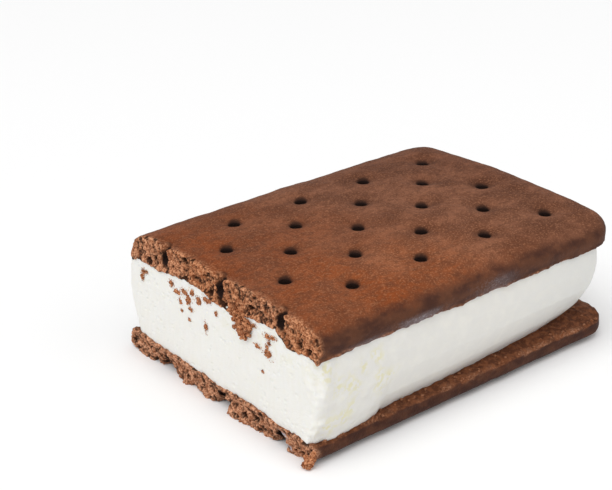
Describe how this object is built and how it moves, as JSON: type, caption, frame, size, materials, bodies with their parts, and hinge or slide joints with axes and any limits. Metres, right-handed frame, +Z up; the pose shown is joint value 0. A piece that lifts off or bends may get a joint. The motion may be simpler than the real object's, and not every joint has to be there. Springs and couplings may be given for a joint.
{
  "type": "ice cream sandwich",
  "caption": "Ice cream sandwich cut across at one end: a thick slab of vanilla ice cream held between soft cocoa wafers with docking holes, for eating by hand.",
  "frame": {"origin": "centre of the bounding box's underside, on the surface that the sandwich rests on", "axes": "+X along the sandwich, away from the cut end; +Y across it; +Z up through the layers"},
  "size_m": [0.071, 0.0514, 0.0243],
  "materials": {
    "cocoa_wafer": "dull, soft baked cocoa wafer with a fine open crumb",
    "vanilla_ice_cream": "satin frozen cream, smooth at the moulded sides and finely grained at the cut"
  },
  "bodies": {
    "root": {"wafer_top": "cocoa_wafer", "ice_cream": "vanilla_ice_cream", "wafer_bottom": "cocoa_wafer"}
  },
  "joints": []
}
